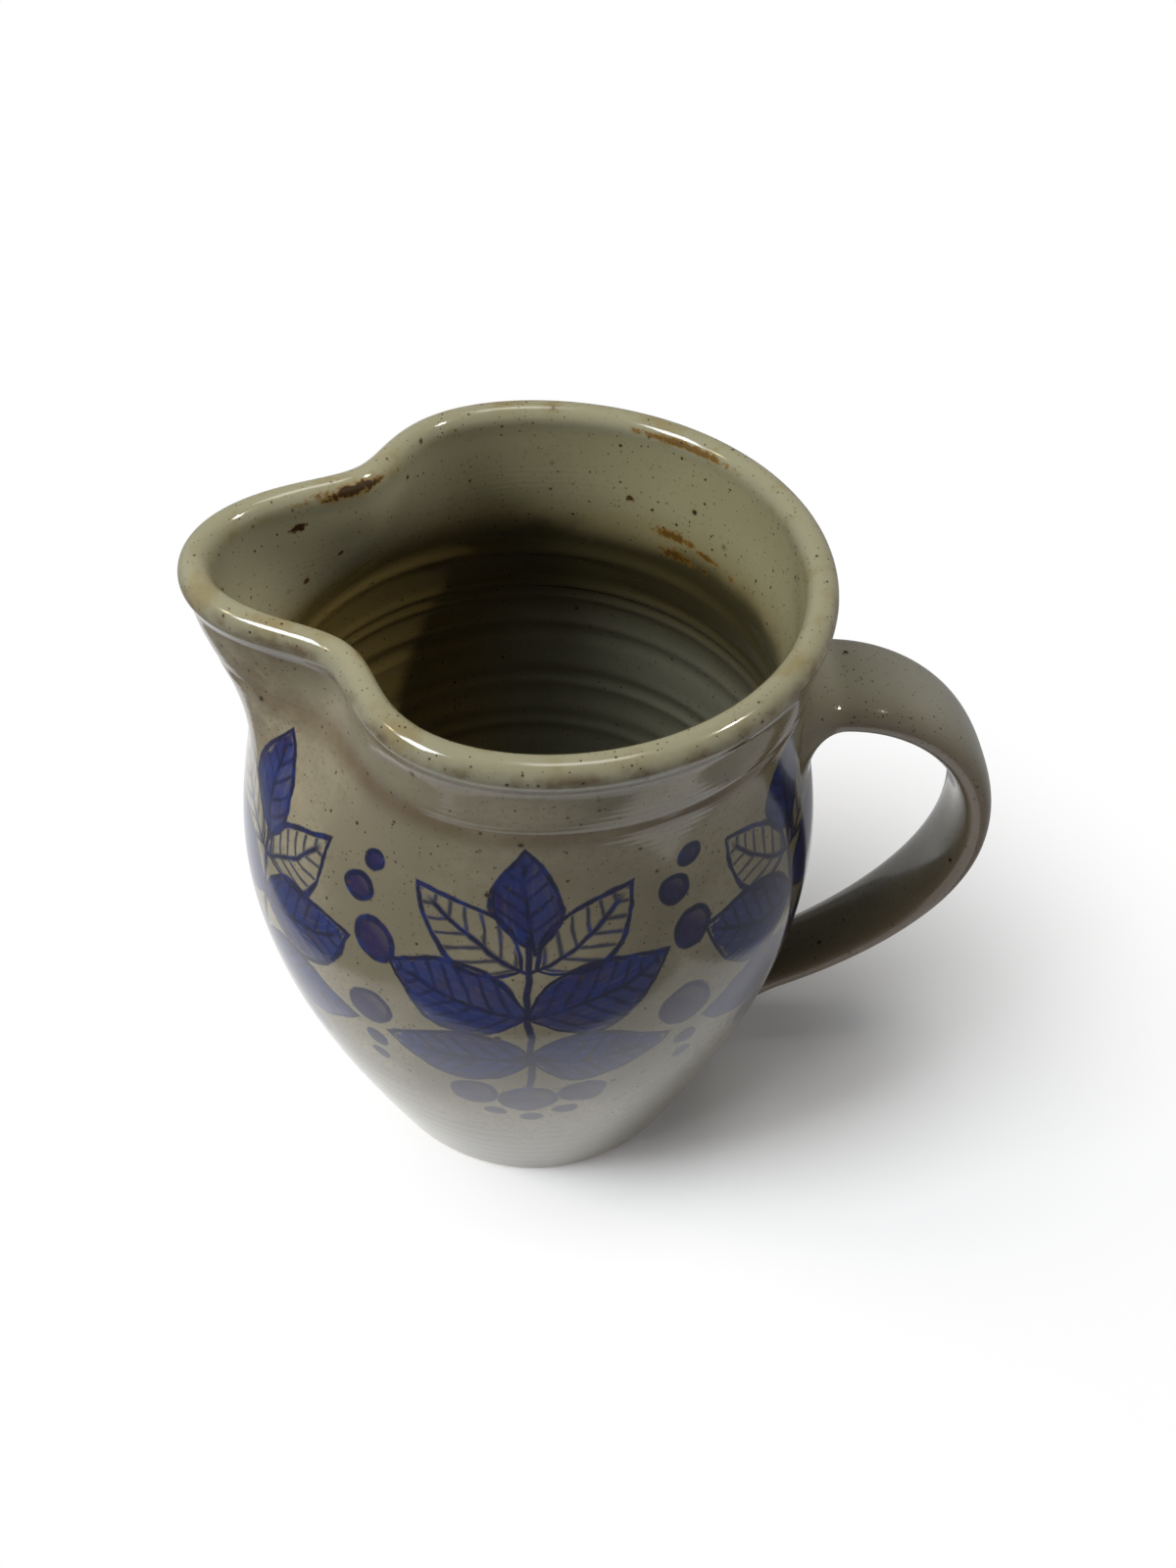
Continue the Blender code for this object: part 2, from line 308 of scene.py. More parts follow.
def body_rows():
    """Profile rows with their normals, and with what the glaze needs to know."""
    points = sponged(raw_profile())
    crest = int(np.argmax(points[:, 1]))
    outside = np.arange(len(points)) > crest
    points[:, 0] += outside * cut_line(points[:, 1])
    run = arc_length(points)
    direction = np.gradient(points, run, axis=0)
    chosen = row_places(run, direction, outside)
    height = np.interp(chosen, run, points[:, 1])
    from_crest = chosen - run[crest]
    return {
        "radius": np.interp(chosen, run, points[:, 0]),
        "height": height,
        "normal_out": np.interp(chosen, run, -direction[:, 1]),
        "normal_up": np.interp(chosen, run, direction[:, 0]),
        "inside": 1.0 - smoothstep(*INSIDE_ZONE, from_crest),
        "lip": 1.0 - smoothstep(*LIP_ZONE, np.abs(from_crest)),
        "pool": POOL_STRENGTH * (band(from_crest, *LIP_POOL) + band(from_crest, *NECK_POOL)),
        "worn": band(from_crest, *WORN_BAND),
        "bare": smoothstep(*BARE_ZONE, height) * (from_crest > 0.0),
    }


def finger_rings(height, angle):
    """Depth of the finger's spiral groove in the inner wall, 0 on its ridges."""
    turn = height / RING_PITCH + angle / (2.0 * math.pi) + waves(RING_WANDER, height, angle)
    uneven = 1.0 - RING_UNEVENNESS + RING_UNEVENNESS * waves(RING_SWELL, height, angle)
    below_top = smoothstep(RING_TOP, RING_TOP - RING_FADE, height)
    above_floor = smoothstep(FLOOR, FLOOR + RING_FADE, height)
    return below_top * above_floor * uneven * np.abs(np.sin(math.pi * turn)) ** RING_SHARPNESS


def turning_lines(height, angle):
    """Height of the faint lines that turning left outside, low on the wall."""
    fade = smoothstep(0.0, TURN_START, height) * smoothstep(*TURN_FADE, height)
    return fade * waves(TURN_WAVES, height, angle)


def wobble(height, angle):
    """How far the wall strays outwards from a true round."""
    return WOBBLE * waves(WOBBLE_WAVES, height, angle) * smoothstep(0.0, BELLY_HEIGHT, height)


def body_grid(rows):
    """The body's points, one row of them per profile row, and the depth of the rings there."""
    angle = np.arange(COLUMNS) * 2.0 * math.pi / COLUMNS - math.pi
    radius = np.repeat(rows["radius"][:, None], COLUMNS, axis=1)
    height = np.repeat(rows["height"][:, None], COLUMNS, axis=1)
    inside = rows["inside"][:, None]
    rings = inside * finger_rings(height, angle)
    push = TURN_DEPTH * turning_lines(height, angle) * (1.0 - inside) - RING_DEPTH * rings
    radius = radius + push * rows["normal_out"][:, None] + wobble(height, angle)
    height = height + push * rows["normal_up"][:, None]
    radius, height = pull_spout(radius, height, angle)
    points = np.stack([-radius * np.cos(angle), radius * np.sin(angle), height], axis=-1)
    return points, rings


def mesh_object(name, points, faces, attributes):
    """A smooth mesh whose faces point out, with one number per point for each attribute."""
    mesh = bpy.data.meshes.new(name)
    mesh.from_pydata(points.tolist(), [], faces)
    shape = bmesh.new()
    shape.from_mesh(mesh)
    bmesh.ops.recalc_face_normals(shape, faces=shape.faces)
    shape.to_mesh(mesh)
    shape.free()
    for key, values in attributes.items():
        mesh.attributes.new(key, "FLOAT", "POINT").data.foreach_set("value", values.astype(np.float32))
    mesh.shade_smooth()
    item = bpy.data.objects.new(name, mesh)
    bpy.context.scene.collection.objects.link(item)
    return item


def ring_faces(ring_count, sides):
    """Quads between rings of points, and a fan over a middle point at each end."""
    first = np.arange(sides)
    following = (first + 1) % sides
    faces = []
    for ring in range(ring_count - 1):
        low = ring * sides
        high = low + sides
        quads = np.column_stack([low + first, low + following, high + following, high + first])
        faces.extend(quads.tolist())
    start_middle = ring_count * sides
    last = start_middle - sides
    for a, b in zip(first.tolist(), following.tolist()):
        faces.append([start_middle, b, a])
        faces.append([start_middle + 1, last + a, last + b])
    return faces


def closed_tube(name, rings, attributes):
    """A closed mesh through rings of points; an attribute has a value per ring or per ring point."""
    ring_count, sides = rings.shape[:2]
    middles = [rings[0].mean(axis=0), rings[-1].mean(axis=0)]
    points = np.vstack([rings.reshape(-1, 3), middles])
    spread = {}
    for key, values in attributes.items():
        values = np.broadcast_to(values.reshape(ring_count, -1), (ring_count, sides))
        spread[key] = np.concatenate([values.ravel(), [values[0, 0], values[-1, 0]]])
    return mesh_object(name, points, ring_faces(ring_count, sides), spread)


def make_body():
    rows = body_rows()
    points, rings = body_grid(rows)
    off_axis = slice(1, -1)
    attributes = {key: rows[key][off_axis] for key in ("inside", "lip", "pool", "worn", "bare")}
    attributes["ring"] = rings[off_axis]
    return closed_tube("glazed_body", points[off_axis], attributes)


def handle_side_radius(height):
    """Outer radius of the wall on the handle's side."""
    return wall_radius(height) + pull_amount(height) * rim_shift(math.pi)


def direction_at(rise):
    return np.array([math.cos(rise), math.sin(rise)])


def handle_route():
    """The middle of the strap from its upper joint to its lower one, in the XZ plane."""
    top_height = BODY_HEIGHT - HANDLE_TOP_DROP
    top = np.array([handle_side_radius(top_height) + JOINT_LENGTH, top_height])
    foot = np.array([handle_side_radius(HANDLE_FOOT_HEIGHT) + JOINT_LENGTH, HANDLE_FOOT_HEIGHT])
    bend_thickness = STRAP_THICKNESS * (1.0 + STRAP_TAPER) / 2.0
    bend = np.array([BELLY_RADIUS + FINGER_GAP + bend_thickness / 2.0, HANDLE_BEND_HEIGHT])
    hold = np.array([0.0, HANDLE_BEND_SWEEP])
    top_handle = top + HANDLE_TOP_SWEEP * direction_at(HANDLE_TOP_RISE)
    foot_handle = foot + HANDLE_FOOT_SWEEP * direction_at(HANDLE_FOOT_RISE)
    upper = bezier(top, top_handle, bend + hold, bend, STRAP_STEPS)
    lower = bezier(bend, bend - hold, foot_handle, foot, STRAP_STEPS)
    return np.vstack([upper, lower[1:]])


def strap_section():
    """A rounded flat: how far each point lies across the strap's thickness and along its width."""
    turn = np.arange(STRAP_SIDES) * 2.0 * math.pi / STRAP_SIDES
    power = 2.0 / STRAP_ROUNDNESS
    across = np.copysign(np.abs(np.cos(turn)) ** power, np.cos(turn))
    along = np.copysign(np.abs(np.sin(turn)) ** power, np.sin(turn))
    return across * STRAP_THICKNESS / 2.0, along * STRAP_WIDTH / 2.0


def strap_rings(across, along):
    """The strap's rings between its joints, with each one's share of the length and its heading."""
    route = handle_route()
    run = arc_length(route)
    kept = slice(TOP_TRIM, -FOOT_TRIM)
    tangent = unit(np.gradient(route, run, axis=0))[kept]
    share = (run / run[-1])[kept]
    rings = []
    for middle, heading, part in zip(route[kept], tangent, share):
        size = 1.0 + (STRAP_TAPER - 1.0) * part
        x = middle[0] - heading[1] * across * size
        z = middle[1] + heading[0] * across * size
        rings.append(np.column_stack([x, along * size, z]))
    return rings, share, tangent


def land_on_wall(points, inward):
    """Where points that move along a direction meet the outer wall."""
    landed = points.copy()
    for _ in range(LANDING_PASSES):
        angle = np.arctan2(landed[:, 1], -landed[:, 0])
        radius = handle_side_radius(landed[:, 2]) + wobble(landed[:, 2], angle)
        wall_x = np.sqrt(radius ** 2 - landed[:, 1] ** 2)
        landed = landed + ((landed[:, 0] - wall_x) / -inward[0])[:, None] * inward
    return landed


def section_outward(ring, inward):
    """The directions that point out of a strap's section, all round it."""
    along_ring = np.roll(ring, -1, axis=0) - np.roll(ring, 1, axis=0)
    outward = np.cross(along_ring, inward)
    return unit(outward * np.sign(np.sum(outward * (ring - ring.mean(axis=0)))))


def joint_rings(ring, inward, fillet, under_fillet):
    """Rings that carry the strap's end in a fillet onto the wall, and one that ends inside it."""
    outward = section_outward(ring, inward)
    fillet = fillet + (under_fillet - fillet) * smoothstep(0.0, FULLY_UNDER, -outward[:, 2:])
    landing = land_on_wall(ring + fillet * outward, inward)
    beyond = land_on_wall(ring + FILLET_BEYOND * fillet * outward, inward)
    end = landing + JOINT_SINK * inward
    start_speed = inward * np.linalg.norm(end - ring, axis=1, keepdims=True)
    end_speed = FILLET_PULL * fillet * unit(beyond - landing)
    shares = np.linspace(0.0, 1.0, JOINT_RINGS + 1)[1:]
    rings = [hermite(ring, start_speed, end, end_speed, share) for share in shares]
    rings.append(end + JOINT_BURY * (inward - outward))
    return rings


def make_handle():
    across, along = strap_section()
    strap, share, tangent = strap_rings(across, along)
    top_inward = np.array([-tangent[0, 0], 0.0, -tangent[0, 1]])
    foot_inward = np.array([tangent[-1, 0], 0.0, tangent[-1, 1]])
    upper = joint_rings(strap[0], top_inward, UPPER_FILLET, UPPER_UNDER_FILLET)
    lower = joint_rings(strap[-1], foot_inward, LOWER_FILLET, LOWER_FILLET)
    rings = np.array(upper[::-1] + strap + lower)
    limb = np.concatenate([np.zeros(len(upper)), share, np.ones(len(lower))])
    upper_meet = np.linspace(1.0, 0.0, len(upper))
    lower_meet = np.linspace(0.0, 1.0, len(lower))
    meet = np.concatenate([upper_meet, np.zeros(len(strap)), lower_meet])
    edge = np.outer(1.0 - meet, np.abs(along / (STRAP_WIDTH / 2.0)) ** EDGE_FALL)
    attributes = {"bare": np.zeros(len(rings)), "limb": limb, "edge": edge, "meet": meet}
    return closed_tube("luted_handle", rings, attributes)


# Glaze colours, with painted light and shade on the inner wall and on the strap
GLAZE_PALE = (0.240, 0.212, 0.142, 1.0)
GLAZE_DEEP = (0.150, 0.130, 0.084, 1.0)
GLAZE_OLIVE = (0.150, 0.132, 0.070, 1.0)
LIP_PALE = (0.205, 0.198, 0.132, 1.0)
LIP_OLIVE = (0.165, 0.138, 0.068, 1.0)
INSIDE_COLLAR = (0.250, 0.236, 0.132, 1.0)
INSIDE_SPOUT = (0.205, 0.200, 0.142, 1.0)
# The next three are painted light and shade on the inner wall under the collar: a dark band of painted
# shade, painted light lower down, and warm painted light on the spout's side
INSIDE_PAINTED_SHADE = (0.050, 0.043, 0.019, 1.0)
INSIDE_LOW_PAINTED_LIGHT = (0.125, 0.122, 0.088, 1.0)
INSIDE_PAINTED_WARM_LIGHT = (0.150, 0.112, 0.040, 1.0)
INSIDE_OCHRE = (0.170, 0.125, 0.045, 1.0)
GROOVE_OLIVE = (0.022, 0.018, 0.007, 1.0)
# The strap's pale top is painted light, and its olive lower limb holds painted shade as well as the glaze's
# olive
HANDLE_TOP_PAINTED_LIGHT = (0.345, 0.335, 0.252, 1.0)
HANDLE_OLIVE_AND_PAINTED_SHADE = (0.145, 0.133, 0.090, 1.0)
FOOT_GREY = (0.110, 0.099, 0.070, 1.0)
EDGE_BROWN = (0.150, 0.102, 0.064, 1.0)
IRON_BROWN = (0.075, 0.042, 0.016, 1.0)
SPECK_BROWN = (0.022, 0.014, 0.007, 1.0)
RUST = (0.165, 0.085, 0.012, 1.0)
BURN = (0.026, 0.014, 0.006, 1.0)
BARE_CLAY = (0.33, 0.25, 0.17, 1.0)
COBALT = (0.001, 0.013, 0.105, 1.0)
VIOLET = (0.012, 0.006, 0.050, 1.0)
LINE_BLUE = (0.001, 0.003, 0.028, 1.0)

# How far each tone covers what lies under it
MOTTLE_SHARE = 0.5
FOOT_SHARE = 0.6
COLLAR_SHARE = 0.7
OCHRE_SHARE = 0.5
LIP_SHARE = 0.75
THIN_SHARE = 0.8
BROKEN_SHARE = 0.55
GROOVE_SHARE = 0.35
STRAP_SHARE = 0.7
EDGE_SHARE = 0.75

# Patches in the glaze: their size, their detail, and the noise at which they start and are full
CLOUDS = (32.0, 4.0, 0.36, 0.66)
LIP_PATCHES = (8.0, 4.0, 0.48, 0.68)
THIN_PATCHES = (5.0, 3.0, 0.42, 0.70)
BROKEN_PATCHES = (5.0, 4.0, 0.25, 0.65)
PIGMENT_STREAKS = (7.0, 4.0, 0.42, 0.78)
WATERY_LINES = (3.0, 2.0, 0.42, 0.75)

# Zones of the glaze by height, by x or by an attribute: where they start and where they are full
MOTTLE_GRAIN = (0.45, 0.75)
FOOT_ZONE = (62.0, 15.0)
OCHRE_ZONE = (135.0, 126.0)
# Where the painted shade on the inner wall begins under the collar, and how ragged its edge is
COLLAR_FOOT = (131.0, 123.0)
COLLAR_RAGGEDNESS = 4.0
# Where the inner wall's painted shade gives way to painted light lower down
LOW_PAINTED_LIGHT_ZONE = (108.0, 86.0)
SPOUT_SIDE = (4.0, -26.0)
SPOUT_FRONT = (-34.0, -48.0)
SPOUT_FOOT = (108.0, 132.0)
NECK_FROM_BELOW = (126.0, 134.0)
NECK_FROM_ABOVE = (143.0, 138.0)
STRAP_LIMB = (0.1, 0.6)
STRAP_MEET = (0.8, 0.2)

# Noises, as size and detail, and straight-line rules on a noise or mask, as slope and start
GRAIN = (1.3, 3.0)
DIMPLES = (1.6, 2.0)
POOL_NOISE = (14.0, 2.0)
POOL_UNEVENNESS = (1.2, 0.1)
PIGMENT_STRENGTH = (0.10, 0.93)
GLOSS_ROUGHNESS = (0.08, 0.07)

# The surface where it is bare and where it is glazed, and the unit of the glaze's patterns
CLAY_ROUGHNESS = 0.85
GLAZE_IOR = 1.5
MILLIMETRES_PER_METRE = 1000.0

# Relief of the glaze: turning ripples, stronger at the neck, and the bump that they and dimples make
RIPPLE_RATE = 4.6
RIPPLE_NOISE = (25.0, 1.0)
RIPPLE_DRIFT = 8.0
RIPPLE_STRENGTH = (0.5, 0.1)
BUMP_STRENGTH = 0.25
BUMP_DISTANCE = 0.00004

# Iron specks: the spacing of their places and the largest speck's radius
SPECKS = ((0.8, 0.15), (1.3, 0.22), (2.4, 0.34), (5.8, 0.66))
SPECK_RARITY = 2.2
SPECK_EDGE = (1.1, 0.7)
SPECK_HALO = (2.0, 0.8)
HALO_SHARE = 0.45
LEAST_SPECK = 0.001

# Iron that burnt through: degrees from the spout, height, half length, half width, rust and burn shares
IRON_MARKS = (
    (130.0, 150.6, 9.0, 0.6, 0.9, 0.4),
    (129.5, 129.0, 4.2, 1.0, 0.95, 0.5),
    (130.5, 124.0, 3.6, 1.2, 0.95, 0.7),
    (140.0, 128.0, 2.6, 0.8, 0.9, 0.5),
    (139.5, 124.0, 0.8, 0.7, 0.6, 0.8),
    (149.0, 127.0, 0.7, 0.6, 0.8, 0.2),
    (33.5, 152.0, 7.0, 1.1, 0.8, 0.95),
    (20.5, 147.0, 1.3, 0.9, 0.3, 1.0),
    (116.5, 134.6, 0.9, 0.8, 0.5, 0.9),
    (21.0, 134.0, 0.7, 0.7, 0.3, 0.9),
    (29.0, 138.0, 0.6, 0.5, 0.3, 0.9),
    (61.0, 152.0, 0.6, 0.6, 0.3, 0.9),
)

# The radius at which those marks are laid out, their ragged outline, and where they start and are full
MARK_RADIUS = 48.0
MARK_NOISE = (1.3, 4.0)
MARK_RAGGEDNESS = (2.6, -1.3)
MARK_INSIDE = (0.3, 0.6)
RUST_EDGE = (1.5, 0.75)
BURN_EDGE = (1.1, 0.55)

# Brushed sprigs: how many go round the belly, and the radius at which they are laid out
SPRIGS = 6
SPRIG_RADIUS = 60.0

# A sprig's top leaf: side, height, direction in degrees, half length, half width, bow and fill
TOP_LEAF = (0.0, 122.0, 88.0, 11.5, 7.0, 0.6, 1.0)

# A sprig's pairs of leaves: side, height, lean in degrees, half length, half width and fill
SPRIG_PAIRS = (
    (12.0, 113.0, 40.0, 12.5, 6.6, 0.0),
    (14.0, 98.0, 20.0, 14.5, 8.6, 1.0),
    (13.5, 80.0, 0.0, 14.0, 8.0, 1.0),
)
PAIR_BOW = 1.5

# A sprig's stem: where its edge fades, and where it ends below and above
STEM_EDGE = (1.0, 0.45)
STEM_FOOT = (69.0, 70.0)
STEM_TOP = (115.0, 113.0)

# Berries under a sprig: side, height and radius
SPRIG_BERRIES = (
    (0.0, 63.5, 5.4),
    (-10.8, 65.5, 4.4),
    (10.8, 65.5, 4.4),
    (0.0, 53.5, 2.0),
    (-7.0, 56.5, 1.6),
    (7.0, 56.5, 1.6),
)

# Berries between two sprigs: side, height and radius
BETWEEN_BERRIES = (
    (0.0, 88.0, 4.8),
    (-1.5, 106.5, 3.8),
    (2.0, 116.5, 2.9),
    (-1.0, 123.5, 2.0),
    (0.0, 77.0, 2.0),
    (0.5, 70.5, 1.5),
)

# The brush's wandering, as sizes and reaches, then its weight and bleed, each as a noise and a rule
BRUSH_DRIFTS = ((26.0, 6.0), (4.5, 1.1))
NOISE_MEAN = (0.5, 0.5, 0.5)
WEIGHT_NOISE = (5.0, 1.0)
LINE_WEIGHT = (1.1, 0.35)
BLEED_NOISE = (4.0, 2.0)
WASH_BLEED = (3.6, -1.8)

# A leaf's shape, wash and bristle marks
LEAF_TAPER = 0.3
LEAF_LEAST = 0.3
WASH_EDGE = (-0.1, 0.7)
HALF_EDGE = (-0.8, 0.8)
HALF_LOSS = 0.06
BRISTLE_STRETCH = 0.14
BRISTLE_NOISE = (1.3, 2.0)
BRISTLE_DRY = (0.45, 0.75)
BRISTLE_LOSS = 0.14

# A leaf's lines: outline, midrib from stalk to tip, and side veins
OUTLINE_CORE = 0.4
RIB_CORE = 0.2
RIB_TIP = (0.85, 0.6)
RIB_STALK = (-1.15, -1.1)
VEIN_SLANT = 0.8
VEIN_SPACING = 1.9
VEIN_CORE = 0.15
VEIN_EDGE = (0.3, 1.0)
VEIN_SHARE = 0.85

# A berry's wash, thinner towards its light side, and its outline
BERRY_LIGHT = (-0.12, 0.12, 0.0)
BERRY_THIN = (0.0, 0.5)
BERRY_LOSS = 0.2
BERRY_EDGE = (0.1, 0.6)
BERRY_LINE = (0.9, 0.4)


class Shader:
    """Adds nodes to one tree. A plain number, colour or vector may stand where a socket would."""

    def __init__(self, tree):
        self.tree = tree

    def fill(self, node, inputs):
        """Links or sets a node's inputs."""
        for key, value in inputs.items():
            if isinstance(value, bpy.types.NodeSocket):
                self.tree.links.new(value, node.inputs[key])
            else:
                node.inputs[key].default_value = value

    def add(self, kind, inputs, **settings):
        """A new node's outputs."""
        node = self.tree.nodes.new(kind)
        for key, value in settings.items():
            setattr(node, key, value)
        self.fill(node, inputs)
        return node.outputs

    def node(self, kind, inputs, output=0, **settings):
        return self.add(kind, inputs, **settings)[output]

    def group(self, tree, inputs):
        return self.add("ShaderNodeGroup", inputs, node_tree=tree)

    def parts(self, vector):
        return list(self.add("ShaderNodeSeparateXYZ", {0: vector}))

    def math(self, operation, first, second=0.0, third=0.0):
        return self.node("ShaderNodeMath", {0: first, 1: second, 2: third}, operation=operation)

    def times(self, first, second):
        return self.math("MULTIPLY", first, second)

    def less(self, first, second):
        return self.math("SUBTRACT", first, second)

    def linear(self, value, slope, start):
        return self.math("MULTIPLY_ADD", value, slope, start)

    def most(self, values):
        highest = values[0]
        for value in values[1:]:
            highest = self.math("MAXIMUM", highest, value)
        return highest

    def vector(self, operation, first, second, output=0):
        return self.node("ShaderNodeVectorMath", {0: first, 1: second}, output, operation=operation)

    def dot(self, first, second):
        return self.vector("DOT_PRODUCT", first, second, 1)

    def step(self, value, low, high):
        """0 below low, 1 above high, smooth between; low may be the greater one."""
        return self.node("ShaderNodeMapRange", {0: value, 1: low, 2: high},
                         interpolation_type="SMOOTHSTEP")

    def mix(self, share, first, second):
        return self.node("ShaderNodeMix", {0: share, 6: first, 7: second}, 2, data_type="RGBA")

    def noise(self, place, size, detail):
        return self.node("ShaderNodeTexNoise", {"Vector": place, "Scale": 1.0 / size, "Detail": detail})

    def attribute(self, name):
        return self.node("ShaderNodeAttribute", {}, "Fac", attribute_name=name)

    def ray(self, kind):
        return self.node("ShaderNodeLightPath", {}, kind)


class Glaze(Shader):
    """A glaze's nodes, with the place on the object and the textures that its tones share."""

    def __init__(self, tree):
        super().__init__(tree)
        metres = self.node("ShaderNodeTexCoord", {}, "Object")
        scaled = {0: metres, "Scale": MILLIMETRES_PER_METRE}
        self.place = self.node("ShaderNodeVectorMath", scaled, operation="SCALE")
        self.x, self.y, self.height = self.parts(self.place)
        self.cloud = self.patches(*CLOUDS)
        self.grain = self.noise(self.place, *GRAIN)

    def patches(self, size, detail, low, high):
        return self.step(self.noise(self.place, size, detail), low, high)

    def angle_from_spout(self):
        return self.math("ARCTAN2", self.y, self.times(self.x, -1.0))

    def outside(self):
        return self.less(1.0, self.attribute("inside"))


def new_group(name, inputs, outputs):
    """A node group with named number or vector sockets: its tree, input sockets and output node."""
    tree = bpy.data.node_groups.new(name, "ShaderNodeTree")
    for key, kind in inputs.items():
        tree.interface.new_socket(key, in_out="INPUT", socket_type=kind)
    for key in outputs:
        tree.interface.new_socket(key, in_out="OUTPUT", socket_type="NodeSocketFloat")
    source = tree.nodes.new("NodeGroupInput")
    sink = tree.nodes.new("NodeGroupOutput")
    return tree, {key: source.outputs[key] for key in inputs}, sink


def leaf_wash(shader, given, run, across, inset):
    """A wash that bleeds past its outline, thinner on one half and along dry bristle marks."""
    spread = shader.step(shader.math("ADD", inset, given["Bleed"]), *WASH_EDGE)
    half = shader.linear(shader.step(across, *HALF_EDGE), -HALF_LOSS, 1.0)
    bristles = shader.node("ShaderNodeCombineXYZ", {0: shader.times(run, BRISTLE_STRETCH), 1: across})
    bristles = shader.vector("ADD", bristles, given["Middle"])
    dry = shader.step(shader.noise(bristles, *BRISTLE_NOISE), *BRISTLE_DRY)
    wash = shader.times(shader.times(spread, half), shader.linear(dry, -BRISTLE_LOSS, 1.0))
    return shader.times(wash, given["Fill"])


def leaf_lines(shader, weight, run, along, across, inset):
    """An outline, a midrib and slanting side veins, drawn with one brush."""
    from_rib = shader.math("ABSOLUTE", across)
    from_outline = shader.math("ABSOLUTE", inset)
    outline = shader.step(from_outline, weight, shader.times(weight, OUTLINE_CORE))
    rib_reach = shader.times(shader.step(along, *RIB_TIP), shader.step(along, *RIB_STALK))
    rib = shader.times(shader.step(from_rib, weight, RIB_CORE), rib_reach)
    from_vein = shader.math("PINGPONG", shader.linear(from_rib, -VEIN_SLANT, run), VEIN_SPACING)
    vein = shader.times(shader.step(from_vein, weight, VEIN_CORE), shader.step(inset, *VEIN_EDGE))
    return shader.most([outline, rib, shader.times(vein, VEIN_SHARE)])


def leaf_group():
    """One brushed leaf: its wash, and its line work of outline, midrib and side veins."""
    vectors = dict.fromkeys(("Place", "Middle", "Heading"), "NodeSocketVector")
    sizes = ("Half length", "Half width", "Bow", "Weight", "Bleed", "Fill")
    numbers = dict.fromkeys(sizes, "NodeSocketFloat")
    tree, given, sink = new_group("brushed_leaf", vectors | numbers, ("Wash", "Line"))
    shader = Shader(tree)
    offset = shader.vector("SUBTRACT", given["Place"], given["Middle"])
    sideways = shader.vector("CROSS_PRODUCT", (0.0, 0.0, 1.0), given["Heading"])
    run = shader.dot(offset, given["Heading"])
    along = shader.math("DIVIDE", run, given["Half length"])
    square = shader.times(along, along)
    across = shader.less(shader.dot(offset, sideways), shader.times(square, given["Bow"]))
    fullness = shader.math("MAXIMUM", shader.linear(along, -LEAF_TAPER, 1.0), LEAF_LEAST)
    width = shader.times(shader.less(1.0, square), given["Half width"])
    inset = shader.less(shader.times(width, fullness), shader.math("ABSOLUTE", across))
    wash = leaf_wash(shader, given, run, across, inset)
    line = leaf_lines(shader, given["Weight"], run, along, across, inset)
    shader.fill(sink, {"Wash": wash, "Line": line})
    return tree


def berry_group():
    """One brushed berry: its wash, thinner on its upper left, and its outline."""
    sockets = {"Place": "NodeSocketVector", "Middle": "NodeSocketVector", "Radius": "NodeSocketFloat"}
    tree, given, sink = new_group("brushed_berry", sockets, ("Wash", "Line"))
    shader = Shader(tree)
    offset = shader.vector("SUBTRACT", given["Place"], given["Middle"])
    inset = shader.less(given["Radius"], shader.vector("LENGTH", offset, (0.0, 0.0, 0.0), 1))
    thin = shader.linear(shader.step(shader.dot(offset, BERRY_LIGHT), *BERRY_THIN), -BERRY_LOSS, 1.0)
    wash = shader.times(shader.step(inset, *BERRY_EDGE), thin)
    line = shader.step(shader.math("ABSOLUTE", inset), *BERRY_LINE)
    shader.fill(sink, {"Wash": wash, "Line": line})
    return tree


def drawing_place(glaze, turn_shift):
    """A flat place in one sprig's drawing, pushed about as a hand-held brush wanders."""
    turn = glaze.math("DIVIDE", glaze.angle_from_spout(), 2.0 * math.pi / SPRIGS)
    cell = glaze.less(glaze.math("FRACT", glaze.math("ADD", turn, SPRIGS + turn_shift)), 0.5)
    side = glaze.times(cell, 2.0 * math.pi * SPRIG_RADIUS / SPRIGS)
    flat = glaze.node("ShaderNodeCombineXYZ", {0: side, 1: glaze.height})
    for size, reach in BRUSH_DRIFTS:
        drift = glaze.node("ShaderNodeTexNoise", {"Vector": glaze.place, "Scale": 1.0 / size}, "Color")
        centred = glaze.vector("SUBTRACT", drift, NOISE_MEAN)
        flat = glaze.vector("ADD", flat, glaze.vector("MULTIPLY", centred, (reach, reach, 0.0)))
    return flat


def sprig_leaves():
    """A sprig's leaves, each as side, height, direction, half length, half width, bow and fill."""
    leaves = [TOP_LEAF]
    for hand in (-1.0, 1.0):
        for side, height, lean, half_length, half_width, fill in SPRIG_PAIRS:
            direction = lean if hand > 0.0 else 180.0 - lean
            leaves.append((hand * side, height, direction, half_length, half_width, hand * PAIR_BOW, fill))
    return leaves


def brushed_leaves(glaze, sprig):
    """The washes and the lines of a sprig's leaves."""
    weight = glaze.linear(glaze.noise(glaze.place, *WEIGHT_NOISE), *LINE_WEIGHT)
    bleed = glaze.linear(glaze.noise(glaze.place, *BLEED_NOISE), *WASH_BLEED)
    leaf = leaf_group()
    strokes = []
    for side, height, direction, half_length, half_width, bow, fill in sprig_leaves():
        heading = (math.cos(math.radians(direction)), math.sin(math.radians(direction)), 0.0)
        strokes.append(glaze.group(leaf, {
            "Place": sprig, "Middle": (side, height, 0.0), "Heading": heading, "Half length": half_length,
            "Half width": half_width, "Bow": bow, "Weight": weight, "Bleed": bleed, "Fill": fill}))
    return [stroke["Wash"] for stroke in strokes], [stroke["Line"] for stroke in strokes]


